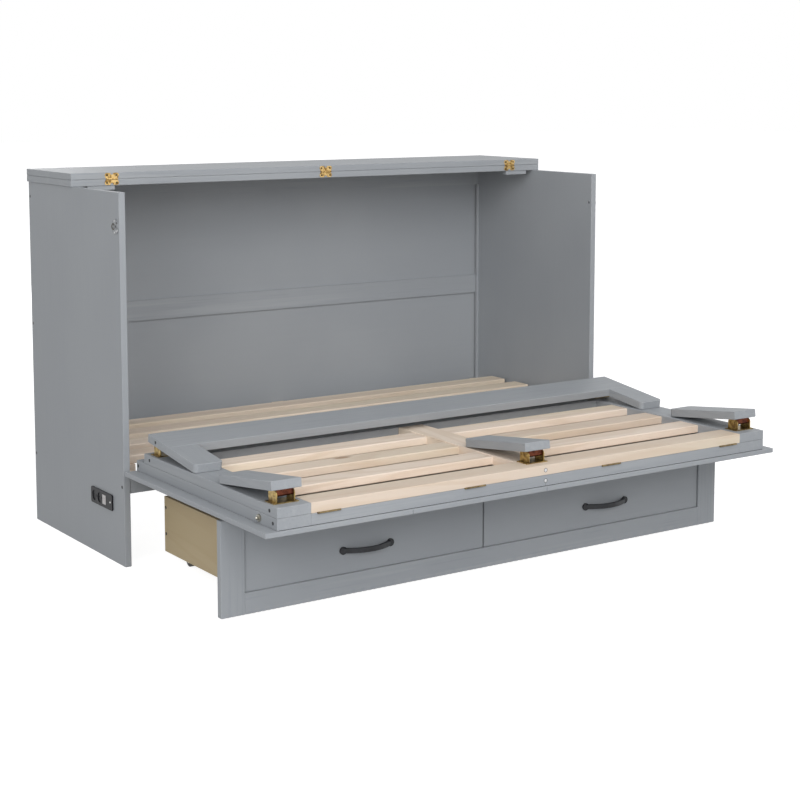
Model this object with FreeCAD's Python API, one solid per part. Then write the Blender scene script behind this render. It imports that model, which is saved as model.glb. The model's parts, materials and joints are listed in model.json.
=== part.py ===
"""A cabinet bed, standing open: a chest-high cabinet with a folding top, a front panel that
has come down to lie level as part of the bed, a foot section folded back on that panel with
its legs, and a wide drawer on casters pulled out below.

X runs across the bed, Y from the foot towards the wall, Z up, all in millimetres.
The plan is drawn with Y = 0 on the front edges of the cabinet's side panels, and the whole
is moved at the end so that the origin is the middle of its footprint, on the floor.
"""
import FreeCAD, Part
import math
import os

V = FreeCAD.Vector

# ---------------------------------------------------------------- driving dimensions
# Cabinet
cabinet_width = 1600.0        # over the outer faces of the side panels
cabinet_depth = 605.0
side_height = 985.0
board = 18.0                  # side panels, fixed top, flap and back rails
cover_overhang = 5.0          # top, flap and front panel stand this far past each side
top_depth = 315.0
flap_depth = 315.0
deck_height = 288.0           # the level that the mattress lies on
edge_ease = 1.0               # the broken edge of a painted board

back_rail_width = 60.0
back_mid_level = 560.0        # lower edge of the middle rail
back_bottom_level = 180.0     # lower edge of the bottom rail, open below it
back_panel_thickness = 6.0
back_groove_depth = 7.0
batten_size = 8.0

apron_inset = 3.0             # apron's front face behind the side panels' front edges
apron_thickness = 18.0

ledger_width = 30.0
ledger_height = 40.0
ledger_front = 30.0           # clear of the front panel's frame as it turns up
centre_beam_width = 40.0

slat_width = 72.0
slat_thickness = 22.0
slat_edge_bevel = 2.5
deck_slat_first = 36.0        # front edge of the first slat in the cabinet
deck_slat_pitch = 125.0
deck_slat_count = 4
deck_slat_end_gap = 15.0

cleat_length = 80.0
cleat_width = 18.0
cleat_height = 12.0
cleat_from_side = 26.0        # between a cleat and its side panel
cleat_from_edge = 2.0         # behind the fixed top's front edge

# Front panel, which is also the middle of the bed
face_board = 12.0
frame_thickness = 28.0
frame_rail_width = 90.0
frame_cross_width = 72.0
frame_side_gap = 10.5         # frame to the inner face of a side panel
frame_setback = 6.0           # frame's front edge behind the face board's edge
panel_side_gap = 1.0          # closed face board in front of the side panels
panel_top_gap = 1.0           # closed face board below the closed flap
frame_slat_count = 4
frame_slat_lead = 91.5        # first slat's middle from the rear rail
frame_slat_tail = 52.65       # last slat's middle from the front rail

# Foot section
section_thickness = 25.0
section_rail_width = 90.0
section_end_width = 90.0
section_beam_width = 80.0     # the pine beam along the middle
section_front_width = 72.0
section_back_inset = 46.15    # folded section's end in front of the panel's back end
section_slat_count = 3
section_slat_lead = 101.0     # first slat's middle from the end rail
section_slat_tail = 127.0     # last slat's middle from the front beam
fold_gap = 0.3                # between two leaves folded flat on each other

# Legs
leg_thickness = 22.0
leg_width = 80.0
leg_side_margin = 2.0         # leg's outer edge inside the section's edge
leg_root_gap = 3.0            # standing leg's root below the section
leg_pivot_height = 20.0       # pin above the section's face
leg_pivot_drop = 11.3         # pin to the leg's near face
leg_rest_gap = 0.3            # folded tip above the section
foot_rail_width = 115.0
foot_leg_inset = 36.0         # foot leg's pin from the section's end
short_leg_inset = 44.0        # short legs' pins from the section's front
leg_corner_radius = 12.0

bracket_width = 66.0
bracket_sheet = 2.5
bracket_flange = 8.0          # base plate outside each cheek
bracket_toe = 3.0             # base plate before and behind the cheeks
cheek_gap = 0.7               # between a cheek and the leg's near face
cheek_back = 25.0             # cheek's reach from the pin, under the folded leg
cheek_corner = 6.0
bracket_pin_radius = 3.0
strap_length = 50.0

# Drawer
drawer_travel = 516.0
drawer_face_gap = 2.0         # closed face in front of the side panels
drawer_face_overhang = 3.0    # past each side of the cabinet
drawer_face_thickness = 18.0
drawer_floor_gap = 4.0
drawer_stile_width = 65.0
drawer_rail_height = 53.0
false_front_recess = 5.0
false_front_joint = 4.0       # dark joint between the two false fronts
false_front_margin = 1.5
false_front_split = -26.0     # the joint's middle, left of the bed's middle as photographed
drawer_box_side_gap = 69.0    # drawer box to a side panel
drawer_box_depth = 460.0
drawer_box_board = 12.0
drawer_box_height = 147.0
drawer_bottom_thickness = 6.0
drawer_running_gap = 3.0      # drawer box under the apron

handle_centres = 140.0
handle_projection = 30.0
handle_bar_depth = 8.0
handle_bar_height = 12.0
handle_foot_radius = 10.0
handle_foot_thickness = 4.0
handle_x = 390.0
handle_level = 116.0

caster_height = 45.0
wheel_radius = 18.0
wheel_width = 16.0
wheel_running_gap = 0.06
wheel_side_gap = 0.8
caster_sheet = 2.5
caster_plate_length = 52.0
caster_plate_width = 38.0
caster_axle_radius = 3.0
caster_arm_radius = 8.0
caster_from_side = 64.0
caster_from_back = 27.0
caster_from_front = 48.0

# Hinges
edge_hinge_gap = 0.3
hinge_leaf = 1.1
knuckle_gap = 0.3
hinge_pin_running = 0.06
top_hinge_radius = 2.5
top_hinge_pin = 1.2
top_hinge_width = 34.0
top_hinge_flare = 7.0         # each wing's extra width at its outer edge, per side
top_hinge_height = 16.5
top_hinge_lobe = 6.0          # radius of each wing's two outer corners
top_hinge_notch = 5.0         # radius of the notch between them
top_hinge_inset = 119.0       # outer hinges from the ends of the top
foot_hinge_radius = 2.2
foot_hinge_pin = 1.0
foot_hinge_width = 62.0
foot_hinge_depth = 22.0       # leaf let into the board behind the front edge
foot_hinge_inner = 218.0
foot_hinge_inset = 46.5       # outer hinges from the side rails
panel_hinge_radius = 3.2
panel_hinge_pin = 1.5
panel_hinge_leaf = 1.2
panel_hinge_width = 80.0
panel_hinge_height = 38.0
panel_hinge_inset = 222.0     # outer hinges from the side panels

# Bolt latches
latch_from_front = 82.0       # bolt's axis behind the frame's front edge
bolt_radius = 4.0
bolt_length = 50.0
bolt_stand = 9.5              # the withdrawn bolt's tip past the frame's side
bolt_nose = 1.5
bolt_running_gap = 0.1
bolt_hole_gap = 1.0
barrel_radius = 6.5
barrel_length = 46.0
rosette_radius = 9.0
rosette_thickness = 3.0
escutcheon_radius = 20.0
escutcheon_thickness = 2.0
escutcheon_ring = 9.0
escutcheon_ring_stand = 1.5
escutcheon_offset = 9.5       # plate's middle behind the bolt's hole
escutcheon_dish = 5.0         # radius of the dished spot behind the ring
escutcheon_dish_depth = 0.8

# Socket plate in the left side
plate_length = 134.0
plate_height = 43.0
plate_inset = 69.0            # plate's near end behind the side panel's front edge
plate_rise = 137.0            # plate's lower edge above the floor
plate_thickness = 4.0
plate_corner = 5.0
socket_radius = 14.0
socket_depth = 2.0
socket_first = 22.0           # first socket's middle from the plate's back end
socket_pitch = 34.0
slot_width = 2.4
slot_height = 7.5
slot_spread = 6.3             # each slot from the socket's middle
insert_width = 20.0
insert_height = 25.0
insert_middle = 84.0          # from the plate's back end
insert_port_spread = 5.0      # each port from the insert's middle
insert_port_width = 3.0
insert_port_height = 12.0
insert_stand = 0.6
outlet_depth = 48.0
outlet_margin = 8.0           # plate's edge round the cut-out
outlet_box_gap = 0.3

# Wood screws through the side panels
screw_head_radius = 4.5
screw_head_depth = 3.0
screw_shank_radius = 2.2
screw_length = 48.0
screw_rise = 18.0             # above the lower edge of the rail it holds

# ---------------------------------------------------------------- derived levels and lines
half_width = cabinet_width / 2
inner_x = half_width - board
cover_x = half_width + cover_overhang

frame_bottom = deck_height - frame_thickness
face_bottom = frame_bottom - face_board
panel_pivot_z = face_bottom - panel_hinge_radius - edge_hinge_gap
panel_pivot_y = -panel_side_gap - (frame_bottom - panel_pivot_z)
panel_back = panel_pivot_y - fold_gap / 2 - panel_hinge_leaf
panel_front = panel_pivot_z + panel_pivot_y - (side_height - panel_top_gap)
frame_front = panel_front + frame_setback
frame_x = inner_x - frame_side_gap
frame_inner_x = frame_x - frame_rail_width
rear_rail_front = panel_back - frame_cross_width
front_rail_back = frame_front + frame_cross_width

apron_top = panel_pivot_z - fold_gap / 2 - panel_hinge_leaf
apron_back = apron_inset + apron_thickness
drawer_top = panel_pivot_z - panel_hinge_radius - edge_hinge_gap
box_bottom = caster_height
box_top = box_bottom + drawer_box_height
apron_bottom = box_top + drawer_running_gap

section_bottom = deck_height + fold_gap
section_top = section_bottom + section_thickness
section_back = panel_back - section_back_inset
section_inner_x = frame_x - section_rail_width
section_end_front = section_back - section_end_width
section_beam_back = frame_front + section_front_width
foot_pivot_y = frame_front - foot_hinge_radius - edge_hinge_gap
foot_pivot_z = deck_height + fold_gap / 2
foot_hinge_outer = frame_inner_x - foot_hinge_inset
foot_hinge_places = (-foot_hinge_outer, -foot_hinge_inner, foot_hinge_inner, foot_hinge_outer)

leg_pin_z = section_top + leg_pivot_height
leg_pin_setback = leg_pivot_height - leg_root_gap
leg_length = 2 * foot_pivot_z - section_top - leg_root_gap
leg_arm = leg_length - leg_pin_setback
leg_tilt = math.asin((leg_pivot_height - leg_rest_gap) / math.hypot(leg_arm, leg_pivot_drop))
leg_tilt += math.atan2(leg_pivot_drop, leg_arm)
leg_outer_x = frame_x - leg_side_margin
leg_middle_x = leg_outer_x - leg_width / 2
foot_leg_pin_y = section_back - foot_leg_inset
short_leg_pin_y = frame_front + short_leg_inset

cheek_radius = leg_pivot_drop - cheek_gap
cheek_outer = bracket_width / 2 - bracket_flange
cheek_inner = cheek_outer - bracket_sheet

top_pivot_z = side_height + board + fold_gap
top_front = cabinet_depth - top_depth
top_hinge_x = cover_x - top_hinge_inset
panel_hinge_x = inner_x - panel_hinge_inset

back_face = cabinet_depth - board
back_top_level = side_height - back_rail_width

drawer_front = -drawer_face_gap - drawer_face_thickness - drawer_travel
drawer_face_back = drawer_front + drawer_face_thickness
box_back = drawer_face_back + drawer_box_depth
box_x = inner_x - drawer_box_side_gap
false_face = drawer_front + false_front_recess

latch_y = frame_front + latch_from_front
latch_z = (frame_bottom + deck_height) / 2
catch_y = panel_pivot_y + latch_z - panel_pivot_z
catch_z = panel_pivot_z + panel_pivot_y - latch_y

plate_y = (plate_inset, plate_inset + plate_length)
plate_z = (plate_rise, plate_rise + plate_height)
plate_middle_z = plate_rise + plate_height / 2

row_shift = -(panel_front + cabinet_depth) / 2


# ---------------------------------------------------------------- small helpers
def block(x, y, z):
    """A rectangular solid; each argument is the pair of its limits along that axis."""
    return Part.makeBox(x[1] - x[0], y[1] - y[0], z[1] - z[0], V(x[0], y[0], z[0]))


def eased(x, y, z):
    """A board with its twelve edges lightly broken."""
    solid = block(x, y, z)
    return solid.makeChamfer(edge_ease, solid.Edges)


def rod_x(x, y, z, radius):
    """A round bar along X."""
    return Part.makeCylinder(radius, x[1] - x[0], V(x[0], y, z), V(1, 0, 0))


def mirrored(solid):
    """The same piece on the other side of the bed."""
    return solid.mirror(V(0, 0, 0), V(1, 0, 0))


def prism_y(points, y):
    """An outline of X, Z points drawn at the first Y and pushed to the second."""
    outline = Part.makePolygon([V(px, y[0], pz) for px, pz in points + points[:1]])
    return Part.Face(outline).extrude(V(0, y[1] - y[0], 0))


def edges_along_x(solid):
    """The edges of a plain block that run along X."""
    return [edge for edge in solid.Edges if edge.BoundBox.XLength > edge.BoundBox.DiagonalLength / 2]


def slat(x, y_middle, z_top):
    """A pine slat lying across the bed, with its long edges taken off."""
    y = (y_middle - slat_width / 2, y_middle + slat_width / 2)
    solid = block(x, y, (z_top - slat_thickness, z_top))
    return solid.makeChamfer(slat_edge_bevel, edges_along_x(solid))


def slat_middles(start, end, lead, tail, count):
    """Middles of evenly spaced slats, from one cross rail's edge towards the other's."""
    pitch = (start - end - lead - tail) / (count - 1)
    return [start - lead - i * pitch for i in range(count)]


def turned(solid, y, z, degrees):
    """A copy turned about an X-wise line, positive from +Y towards +Z."""
    copy = solid.copy()
    copy.rotate(V(0, y, z), V(1, 0, 0), degrees)
    return copy


nodes = {}


def keep(name, *solids):
    """Files the solids of one node."""
    nodes[name] = list(solids)


# ---------------------------------------------------------------- screws
def side_screw(y, z):
    """A countersunk screw through the right side panel into the end of a rail."""
    head = Part.makeCone(screw_head_radius, screw_shank_radius, screw_head_depth,
                         V(half_width, y, z), V(-1, 0, 0))
    shank_start = half_width - screw_head_depth
    shank = rod_x((half_width - screw_length, shank_start), y, z, screw_shank_radius)
    return head.fuse(shank).removeSplitter()


rail_middle = cabinet_depth - board / 2
screw_places = [(rail_middle, level + screw_rise)
                for level in (back_bottom_level, back_mid_level, back_top_level)]
screw_places.append((apron_inset + apron_thickness / 2, apron_bottom + screw_rise))
right_screws = [side_screw(y, z) for y, z in screw_places]
all_screws = right_screws + [mirrored(one) for one in right_screws]


def drilled(solid):
    """A piece with the holes of the screws that pass through it."""
    for one in all_screws:
        if solid.BoundBox.intersect(one.BoundBox):
            solid = solid.cut(one)
    return solid


# ---------------------------------------------------------------- socket plate
outlet_cut_y = (plate_y[0] + outlet_margin, plate_y[1] - outlet_margin)
outlet_cut_z = (plate_z[0] + outlet_margin, plate_z[1] - outlet_margin)


def socket_plate():
    """The plate on the left side's outer face, with its two round sockets."""
    x = (-half_width - plate_thickness, -half_width)
    plate = block(x, plate_y, plate_z)
    corners = [edge for edge in plate.Edges if edge.BoundBox.XLength > plate_thickness / 2]
    plate = plate.makeFillet(plate_corner, corners)
    slot_z = (plate_middle_z - slot_height / 2, plate_middle_z + slot_height / 2)
    for place in range(2):
        y = plate_y[1] - socket_first - place * socket_pitch
        plate = plate.cut(rod_x((x[0], x[0] + socket_depth), y, plate_middle_z, socket_radius))
        for side in (-1, 1):
            slot_y = y + side * slot_spread
            slot = block(x, (slot_y - slot_width / 2, slot_y + slot_width / 2), slot_z)
            plate = plate.cut(slot)
    return plate.cut(port_insert_outline())


def port_insert_outline():
    """The space of the pale insert in the middle of the plate."""
    y = plate_y[1] - insert_middle
    return block((-half_width - plate_thickness - insert_stand, -half_width),
                 (y - insert_width / 2, y + insert_width / 2),
                 (plate_middle_z - insert_height / 2, plate_middle_z + insert_height / 2))


def port_insert():
    """The pale insert with its two upright charging ports."""
    insert = port_insert_outline()
    outer = insert.BoundBox.XMin
    half = insert_port_height / 2
    for side in (-1, 1):
        y = plate_y[1] - insert_middle + side * insert_port_spread
        port = block((outer, outer + socket_depth),
                     (y - insert_port_width / 2, y + insert_port_width / 2),
                     (plate_middle_z - half, plate_middle_z + half))
        insert = insert.cut(port)
    return insert


def outlet_body():
    """The housing behind the plate, hung in the side panel's cut-out."""
    y = (outlet_cut_y[0] + outlet_box_gap, outlet_cut_y[1] - outlet_box_gap)
    z = (outlet_cut_z[0] + outlet_box_gap, outlet_cut_z[1] - outlet_box_gap)
    return eased((-half_width, -half_width + outlet_depth), y, z)


# ---------------------------------------------------------------- cabinet
def side_panel(side):
    """A side panel standing on the floor, with the hole that the latch's bolt enters."""
    panel = eased((inner_x, half_width), (0, cabinet_depth), (0, side_height))
    panel = panel.cut(rod_x((inner_x, half_width), catch_y, catch_z, bolt_radius + bolt_hole_gap))
    if side < 0:
        panel = mirrored(panel)
        panel = panel.cut(block((-half_width, -inner_x), outlet_cut_y, outlet_cut_z))
    return drilled(panel)


def escutcheon():
    """The round plate at the bolt's hole on the right side's outer face.

    A raised ring stands round the hole, with a dished spot behind it.
    """
    face = half_width + escutcheon_thickness
    middle_y = catch_y + escutcheon_offset
    plate = rod_x((half_width, face), middle_y, catch_z, escutcheon_radius)
    dish_y = middle_y + escutcheon_offset
    plate = plate.cut(rod_x((face - escutcheon_dish_depth, face), dish_y, catch_z,
                            escutcheon_dish))
    ring_end = face + escutcheon_ring_stand
    plate = plate.fuse(rod_x((half_width, ring_end), catch_y, catch_z, escutcheon_ring))
    hole = rod_x((half_width, ring_end), catch_y, catch_z, bolt_radius + bolt_hole_gap)
    return plate.cut(hole).removeSplitter()


def back_panel(low, high):
    """A thin panel held in the grooves of the rails below and above it."""
    middle = cabinet_depth - board / 2
    y = (middle - back_panel_thickness / 2, middle + back_panel_thickness / 2)
    return block((-inner_x, inner_x), y, (low - back_groove_depth, high + back_groove_depth))


def build_cabinet():
    """Everything that stands still."""
    keep("side_panel_left", side_panel(-1))
    keep("side_panel_right", side_panel(1))
    keep("fixed_top", eased((-cover_x, cover_x), (top_front, cabinet_depth),
                            (side_height, side_height + board)))

    lower = back_panel(back_bottom_level + back_rail_width, back_mid_level)
    upper = back_panel(back_mid_level + back_rail_width, back_top_level)
    keep("back_panels", lower, upper)
    rails = (("back_bottom_rail", back_bottom_level),
             ("back_mid_rail", back_mid_level),
             ("back_top_rail", back_top_level))
    for name, level in rails:
        rail = block((-inner_x, inner_x), (back_face, cabinet_depth),
                     (level, level + back_rail_width))
        keep(name, drilled(rail.cut(lower).cut(upper)))
    ledger_top = deck_height - slat_thickness
    batten = block((inner_x - batten_size, inner_x), (back_face - batten_size, back_face),
                   (ledger_top, back_top_level))
    keep("back_corner_battens", batten, mirrored(batten))

    keep("apron_rail", drilled(eased((-inner_x, inner_x), (apron_inset, apron_back),
                                     (apron_bottom, apron_top))))

    ledger_z = (ledger_top - ledger_height, ledger_top)
    ledger = block((inner_x - ledger_width, inner_x), (ledger_front, back_face), ledger_z)
    keep("deck_ledgers", ledger, mirrored(ledger))
    beam_x = (-centre_beam_width / 2, centre_beam_width / 2)
    beam = block(beam_x, (apron_back, back_face), ledger_z)
    notch = block(beam_x, (apron_back, ledger_front), (apron_top, ledger_top))
    keep("deck_centre_beam", beam.cut(notch))
    slat_x = inner_x - deck_slat_end_gap
    first = deck_slat_first + slat_width / 2
    keep("deck_slats", *[slat((-slat_x, slat_x), first + i * deck_slat_pitch, deck_height)
                         for i in range(deck_slat_count)])

    cleat_outer = inner_x - cleat_from_side
    cleat_y = top_front + cleat_from_edge
    cleat = eased((cleat_outer - cleat_length, cleat_outer), (cleat_y, cleat_y + cleat_width),
                  (side_height - cleat_height, side_height))
    keep("top_cleats", mirrored(cleat), cleat)

    keep("latch_escutcheons", mirrored(escutcheon()), escutcheon())
    keep("side_screws", *all_screws)
    keep("outlet_plate", socket_plate())
    keep("outlet_port_insert", port_insert())
    keep("outlet_body", outlet_body())


# ---------------------------------------------------------------- hinges
def seam_wing(face_y, width, depth, sign):
    """A flat leaf that lies in the seam, let into the board above or below it."""
    z = sorted((sign * fold_gap / 2, sign * (fold_gap / 2 + hinge_leaf)))
    return block((-width / 2, width / 2), (foot_pivot_y, face_y + depth), z)


def bedded(board_solid, face_z, sign):
    """A board with shallow beds for the foot hinges' leaves in its face at the seam."""
    half = foot_hinge_width / 2
    for x in foot_hinge_places:
        z = sorted((face_z, face_z + sign * hinge_leaf))
        bed = block((x - half, x + half), (frame_front, frame_front + foot_hinge_depth), z)
        board_solid = board_solid.cut(bed)
    return board_solid


def butterfly_wing(face_y, width, height, sign):
    """A wing that flares out to two round lobes with a notch between them."""
    near = knuckle_gap / 2
    wide = width / 2 + top_hinge_flare
    outline = [(-width / 2, sign * near), (width / 2, sign * near),
               (wide, sign * height), (-wide, sign * height)]
    y = (face_y - hinge_leaf, face_y)
    wing = prism_y(outline, y)
    corners = [edge for edge in wing.Edges
               if edge.BoundBox.YLength > hinge_leaf / 2
               and abs(edge.BoundBox.Center.z) > height / 2]
    wing = wing.makeFillet(top_hinge_lobe, corners)
    notch = Part.makeCylinder(top_hinge_notch, hinge_leaf, V(0, y[0], sign * height), V(0, 1, 0))
    return wing.cut(notch)


def edge_hinge(x, face_y, pivot_z, radius, pin, width, height, wing):
    """A hinge at the front edges of two boards that lie one on the other.

    The lower leaf carries the two outer knuckles and the pin, the upper one the middle
    knuckle. wing draws the plate. Returns the lower and the upper leaf.
    """
    pivot_y = face_y - radius - edge_hinge_gap
    quarter = width / 4
    outer_zones = ((-width / 2, -quarter), (quarter, width / 2))
    middle_zone = (-quarter + knuckle_gap, quarter - knuckle_gap)

    lower = wing(face_y, width, height, -1)
    lower = lower.cut(rod_x((-quarter, quarter), pivot_y, 0, radius + knuckle_gap))
    for zone in outer_zones:
        lower = lower.fuse(rod_x(zone, pivot_y, 0, radius))
    lower = lower.fuse(rod_x((-width / 2, width / 2), pivot_y, 0, pin))

    upper = wing(face_y, width, height, 1)
    for zone in ((-width, -quarter + knuckle_gap), (quarter - knuckle_gap, width)):
        upper = upper.cut(rod_x(zone, pivot_y, 0, radius + knuckle_gap))
    upper = upper.fuse(rod_x(middle_zone, pivot_y, 0, radius))
    upper = upper.cut(rod_x(middle_zone, pivot_y, 0, pin + hinge_pin_running))

    placed = []
    for leaf in (lower, upper):
        leaf = leaf.removeSplitter()
        leaf.translate(V(x, 0, pivot_z))
        placed.append(leaf)
    return placed


def panel_hinge(x):
    """One butt hinge under the front panel: a level leaf on the apron and a leaf that
    stands on the panel's back end. Returns the fixed and the moving leaf."""
    radius = panel_hinge_radius
    half = panel_hinge_width / 2
    quarter = panel_hinge_width / 4
    y = panel_pivot_y
    z = panel_pivot_z

    fixed = block((-half, half), (y, apron_back), (apron_top, apron_top + panel_hinge_leaf))
    fixed = fixed.cut(rod_x((-quarter, quarter), y, z, radius + knuckle_gap))
    for zone in ((-half, -quarter), (quarter, half)):
        fixed = fixed.fuse(rod_x(zone, y, z, radius))
    fixed = fixed.fuse(rod_x((-half, half), y, z, panel_hinge_pin))

    moving = block((-half, half), (panel_back, panel_back + panel_hinge_leaf),
                   (z, z + panel_hinge_height))
    for zone in ((-half, -quarter + knuckle_gap), (quarter - knuckle_gap, half)):
        moving = moving.cut(rod_x(zone, y, z, radius + knuckle_gap))
    inner = (-quarter + knuckle_gap, quarter - knuckle_gap)
    moving = moving.fuse(rod_x(inner, y, z, radius))
    moving = moving.cut(rod_x(inner, y, z, panel_hinge_pin + hinge_pin_running))

    placed = []
    for leaf in (fixed, moving):
        leaf = leaf.removeSplitter()
        leaf.translate(V(x, 0, 0))
        placed.append(leaf)
    return placed


def build_hinges():
    """The three rows of hinges, each leaf filed with what it is screwed to."""
    top = [edge_hinge(x, top_front, top_pivot_z, top_hinge_radius, top_hinge_pin,
                      top_hinge_width, top_hinge_height, butterfly_wing)
           for x in (-top_hinge_x, 0, top_hinge_x)]
    keep("top_hinge_fixed_leaves", *[pair[0] for pair in top])
    keep("top_hinge_flap_leaves", *[pair[1] for pair in top])

    foot = [edge_hinge(x, frame_front, foot_pivot_z, foot_hinge_radius, foot_hinge_pin,
                       foot_hinge_width, foot_hinge_depth, seam_wing)
            for x in foot_hinge_places]
    keep("foot_hinge_panel_leaves", *[pair[0] for pair in foot])
    keep("foot_hinge_section_leaves", *[pair[1] for pair in foot])

    main = [panel_hinge(x) for x in (-panel_hinge_x, 0, panel_hinge_x)]
    keep("panel_hinge_fixed_leaves", *[pair[0] for pair in main])
    keep("panel_hinge_moving_leaves", *[pair[1] for pair in main])


# ---------------------------------------------------------------- folding top
def build_flap():
    """The front half of the top, folded back on the fixed half."""
    keep("top_flap", eased((-cover_x, cover_x), (top_front, top_front + flap_depth),
                           (top_pivot_z, top_pivot_z + board)))


# ---------------------------------------------------------------- front panel
def latch_barrel():
    """The right latch's tube in the side rail, with its rosette on the rail's edge."""
    barrel = rod_x((frame_x - barrel_length, frame_x), latch_y, latch_z, barrel_radius)
    rosette = rod_x((frame_x, frame_x + rosette_thickness), latch_y, latch_z, rosette_radius)
    bore = rod_x((frame_x - barrel_length, frame_x + rosette_thickness), latch_y, latch_z,
                 bolt_radius + bolt_running_gap)
    return barrel.fuse(rosette).cut(bore).removeSplitter()


def latch_bolt():
    """The right latch's round bolt, its nose chamfered."""
    tip = frame_x + bolt_stand
    bolt = rod_x((tip - bolt_length, tip), latch_y, latch_z, bolt_radius)
    nose = [edge for edge in bolt.Edges if edge.BoundBox.XMin > tip - bolt_nose]
    return bolt.makeChamfer(bolt_nose, nose)


def build_front_panel():
    """The painted face board, now below, and the frame and slats that it carries."""
    keep("face_board", eased((-cover_x, cover_x), (panel_front, panel_back),
                             (face_bottom, frame_bottom)))
    frame_z = (frame_bottom, deck_height)
    side_rail = eased((frame_inner_x, frame_x), (frame_front, panel_back), frame_z)
    side_rail = side_rail.cut(rod_x((frame_x - barrel_length, frame_x), latch_y, latch_z,
                                    barrel_radius))
    keep("panel_side_rails", mirrored(side_rail), side_rail)
    span = (-frame_inner_x, frame_inner_x)
    front_rail = eased(span, (frame_front, front_rail_back), frame_z)
    keep("panel_front_rail", bedded(front_rail, deck_height, -1))
    keep("panel_rear_rail", eased(span, (rear_rail_front, panel_back), frame_z))
    middles = slat_middles(rear_rail_front, front_rail_back, frame_slat_lead, frame_slat_tail,
                           frame_slat_count)
    keep("panel_slats", *[slat(span, y, deck_height) for y in middles])
    keep("latch_barrels", mirrored(latch_barrel()), latch_barrel())
    keep("latch_bolt_left", mirrored(latch_bolt()))
    keep("latch_bolt_right", latch_bolt())


# ---------------------------------------------------------------- foot section
def build_foot_section():
    """The last third of the bed, folded face down on the front panel."""
    rail_z = (section_bottom, section_top)
    side_rail = eased((section_inner_x, frame_x), (frame_front, section_back), rail_z)
    keep("section_side_rails", mirrored(side_rail), side_rail)
    span = (-section_inner_x, section_inner_x)
    keep("section_end_rail", eased(span, (section_end_front, section_back), rail_z))
    front_beam = eased(span, (frame_front, section_beam_back), rail_z)
    keep("section_front_beam", bedded(front_beam, section_bottom, 1))
    half_beam = section_beam_width / 2
    keep("section_centre_beam", eased((-half_beam, half_beam),
                                      (section_beam_back, section_end_front), rail_z))
    halves = []
    for y in slat_middles(section_end_front, section_beam_back, section_slat_lead,
                          section_slat_tail, section_slat_count):
        half = slat((half_beam, section_inner_x), y, section_bottom + slat_thickness)
        halves += [mirrored(half), half]
    keep("section_slats", *halves)


# ---------------------------------------------------------------- folding legs
# Each leg is drawn standing off the section as it stands in use, then folded down.
def leg_board(x, along, round_tip):
    """A leg's board between two distances from its root, on the far side of the pin."""
    y = (-leg_pivot_drop - leg_thickness, -leg_pivot_drop)
    z = (along[0] - leg_pin_setback, along[1] - leg_pin_setback)
    solid = block(x, y, z)
    if round_tip:
        corners = [edge for edge in solid.Edges
                   if edge.BoundBox.ZMin > z[1] - edge_ease and edge.BoundBox.YLength > edge_ease]
        solid = solid.makeFillet(leg_corner_radius, corners)
    rims = [edge for edge in solid.Edges if edge.BoundBox.YLength < edge_ease]
    return solid.makeChamfer(edge_ease, rims)


def leg_strap():
    """The plate screwed to a leg, its root end bent over and rolled round the bracket's pin."""
    x = (knuckle_gap - cheek_inner, cheek_inner - knuckle_gap)
    face = -leg_pivot_drop
    bore_radius = bracket_pin_radius + hinge_pin_running
    roll_radius = bore_radius + bracket_sheet
    plate = block(x, (face, face + bracket_sheet), (-roll_radius, strap_length - roll_radius))
    web = block(x, (face, 0), (-roll_radius, bracket_sheet - roll_radius))
    strap = plate.fuse(web).fuse(rod_x(x, 0, 0, roll_radius))
    return strap.cut(rod_x(x, 0, 0, bore_radius)).removeSplitter()


def cheek(x):
    """A bracket's cheek, round before the pin and running back under the folded leg."""
    base = -leg_pivot_height
    back_top = cheek_radius - cheek_back * math.tan(leg_tilt)
    halfway = cheek_radius * math.sin(math.pi / 4)
    front = V(x[0], -cheek_radius, 0)
    crown = V(x[0], 0, cheek_radius)
    nose = Part.Arc(front, V(x[0], -halfway, halfway), crown).toShape()
    straight = Part.makePolygon([crown, V(x[0], cheek_back, back_top), V(x[0], cheek_back, base),
                                 V(x[0], -cheek_radius, base), front])
    solid = Part.Face(Part.Wire([nose] + straight.Edges)).extrude(V(x[1] - x[0], 0, 0))
    corner = [edge for edge in edges_along_x(solid)
              if edge.BoundBox.YMin > cheek_back / 2 and edge.BoundBox.ZMin > 0]
    return solid.makeFillet(cheek_corner, corner)


def bracket():
    """The plate on the section with its two cheeks and the pin riveted between them."""
    half = bracket_width / 2
    base = (-leg_pivot_height, -leg_pivot_height + bracket_sheet)
    whole = block((-half, half), (-cheek_radius - bracket_toe, cheek_back + bracket_toe), base)
    for side in (-1, 1):
        whole = whole.fuse(cheek(sorted((side * cheek_outer, side * cheek_inner))))
    return whole.fuse(rod_x((-cheek_outer, cheek_outer), 0, 0, bracket_pin_radius)).removeSplitter()


def folded(solid, x, pin_y, faces_back):
    """Lays a standing leg piece down on the section, its tip towards the bed's middle.

    The piece is drawn about the pin. faces_back turns it round for the foot leg.
    """
    piece = turned(solid, 0, 0, -90 - math.degrees(leg_tilt))
    if faces_back:
        piece = piece.mirror(V(0, 0, 0), V(0, 1, 0))
    piece.translate(V(x, pin_y, leg_pin_z))
    return piece


def set_bracket(x, pin_y, faces_back):
    """A bracket on the section at one pin, its cheeks running back under the folded leg."""
    piece = bracket()
    if faces_back:
        piece = piece.mirror(V(0, 0, 0), V(0, 1, 0))
    piece.translate(V(x, pin_y, leg_pin_z))
    return piece


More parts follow.
